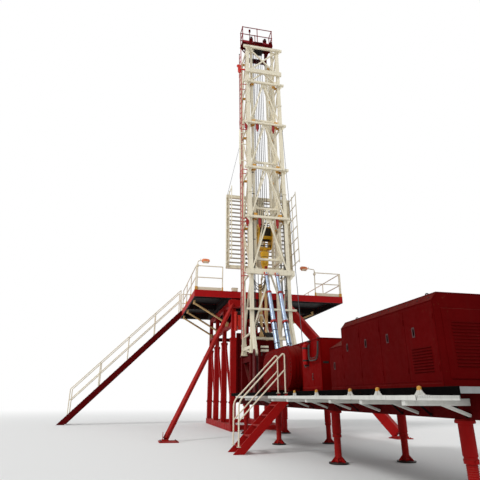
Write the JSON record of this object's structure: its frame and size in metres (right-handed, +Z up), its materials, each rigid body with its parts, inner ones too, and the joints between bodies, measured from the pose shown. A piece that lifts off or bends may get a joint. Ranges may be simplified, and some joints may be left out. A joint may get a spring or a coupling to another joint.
{
  "type": "land oil drilling rig with a two-section mast",
  "caption": "Land rotary drilling rig: red substructure and machinery skid, raised cream lattice mast retracted in itself, crown platform, raised rig floor with stair.",
  "frame": {"origin": "centre of the well at ground level, on the axis of the rotary table", "axes": "+Z up, +Y from the machinery skid towards the rig floor and the pipe-handling end, +X to the driller's side"},
  "size_m": [13.0141, 21.43, 20.8364],
  "materials": {
    "red": "satin",
    "dark_red": "satin",
    "cream": "satin",
    "tan": "satin",
    "yellow": "gloss",
    "silver": "satin",
    "grey": "matte",
    "dark": "matte",
    "pink": "satin",
    "orange": "satin",
    "rope": "matte"
  },
  "bodies": {
    "substructure": {"base_beams": "red", "left_column_frame": "red", "right_column_frame": "red", "front_cross_frame": "dark_red", "front_panel": "dark_red", "back_cross_frame": "dark_red", "raker_legs": "red", "floor_centre": "red", "floor_left_wing": "red", "floor_right_wing": "red", "wing_struts": "tan", "left_wing_railing": "cream", "right_wing_railing": "cream", "back_railing": "cream", "rotary_table": "dark", "floodlights": "orange", "stair_stringers": "dark_red", "stair_treads": "grey", "stair_handrails": "cream", "mast_base": "cream", "mast_pedestal": "dark_red", "skid_frame": "dark_red", "skid_deck": "grey", "levelling_jacks": "red", "drawworks": "dark_red", "drum_guard": "red", "fluid_tank": "red", "low_housing": "red", "engine_housing": "red", "side_walkway": "grey", "boarding_stair": "red", "boarding_handrails": "cream", "cylinder_foot": "dark_red"},
    "lower_mast": {"lower_mast_left_side": "cream", "lower_mast_right_side": "cream", "lower_mast_carrier_face": "cream", "mast_guide_pads": "tan", "mast_latches": "dark_red", "mast_ladder": "pink", "fast_line": "rope"},
    "upper_mast": {"upper_mast_left_side": "cream", "upper_mast_right_side": "cream", "upper_mast_carrier_face": "cream", "crown_frame": "dark_red", "crown_platform": "dark_red", "crown_railing": "dark_red", "drill_lines": "rope", "racking_stays": "rope"},
    "crown_sheaves": {"crown_sheaves": "dark"},
    "travelling_block": {"travelling_block": "yellow", "hook": "yellow", "swivel_stem": "tan"},
    "racking_board": {"racking_platform": "cream", "racking_left_side": "cream", "racking_right_side": "cream"},
    "cylinder_barrels": {"cylinder_barrels": "silver"},
    "cylinder_stage_1": {"cylinder_stage_1": "silver"},
    "cylinder_stage_2": {"cylinder_stage_2": "silver"}
  },
  "joints": [
    {"name": "mast_raise", "type": "hinge", "parent": "substructure", "child": "lower_mast", "pos_m": [0, -3.84947, 2.85043], "axis": [1, 0, 0], "range_deg": [0, 90]},
    {"name": "mast_extend", "type": "slide", "parent": "lower_mast", "child": "upper_mast", "axis": [0, 0.0523, 0.9986], "range_m": [0, 9.8], "deforming": ["fast_line"]},
    {"name": "block_travel", "type": "slide", "parent": "upper_mast", "child": "travelling_block", "axis": [0, 0.0523, 0.9986], "range_m": [0, 9.8], "deforming": ["drill_lines"]},
    {"name": "racking_board_fold", "type": "hinge", "parent": "upper_mast", "child": "racking_board", "pos_m": [0, -1.493, 6.6383], "axis": [-1, 0, 0], "range_deg": [0, 90]},
    {"name": "crown_sheaves_spin", "type": "hinge", "parent": "upper_mast", "child": "crown_sheaves", "pos_m": [0, -1.77668, 19.18634], "axis": [1, 0, 0], "continuous": true},
    {"name": "cylinder_swing", "type": "hinge", "parent": "substructure", "child": "cylinder_barrels", "pos_m": [0, -4.97, 2.6], "axis": [1, 0, 0], "range_deg": [0, 96.18]},
    {"name": "cylinder_stage_1_slide", "type": "slide", "parent": "cylinder_barrels", "child": "cylinder_stage_1", "axis": [0, 0.4068, 0.9135], "range_m": [-0.9561, 0]},
    {"name": "cylinder_stage_2_slide", "type": "slide", "parent": "cylinder_stage_1", "child": "cylinder_stage_2", "axis": [0, 0.4068, 0.9135], "range_m": [-0.6374, 0]}
  ],
  "couplings": [
    {"joint": "cylinder_swing", "follows": "mast_raise", "ratio": 1.0687},
    {"joint": "cylinder_stage_1_slide", "follows": "mast_raise", "m_per_rad": -0.60867},
    {"joint": "cylinder_stage_2_slide", "follows": "mast_raise", "m_per_rad": -0.40578}
  ]
}
